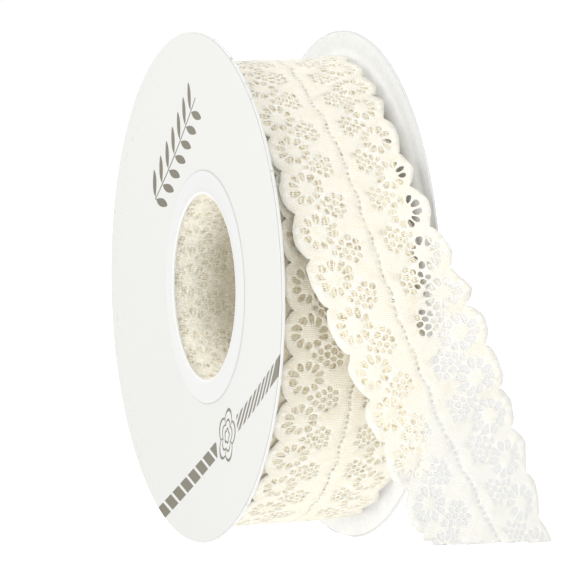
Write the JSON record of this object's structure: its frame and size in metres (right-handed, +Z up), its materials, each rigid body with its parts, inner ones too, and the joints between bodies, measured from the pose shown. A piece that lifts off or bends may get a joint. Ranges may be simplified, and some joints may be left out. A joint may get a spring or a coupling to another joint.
{
  "type": "spool of lace ribbon",
  "caption": "Flanged spool wound with cream scalloped lace ribbon on a clear core, a printed ring on one disc, its loose end hanging over the rear rim.",
  "frame": {"origin": "on the surface that the discs stand on, under the middle of the whole with its loose end", "axes": "+X along the axle from the printed disc to the rear disc, +Z up, the front of the roll and its loose end towards -Y"},
  "size_m": [0.0756, 0.146, 0.1396],
  "materials": {
    "disc_plastic": "satin",
    "label_paper": "coated paper, printed",
    "pale_disc_plastic": "milky satin",
    "clear_plastic": "clear, smooth",
    "wound_lace": "knitted lace, wound in layers",
    "lace": "knitted lace"
  },
  "bodies": {
    "root": {"flange_near": "disc_plastic", "flange_label": "label_paper", "flange_rear": "pale_disc_plastic", "core": "clear_plastic", "lace_roll": "wound_lace", "lace_tail": "lace"}
  },
  "joints": []
}
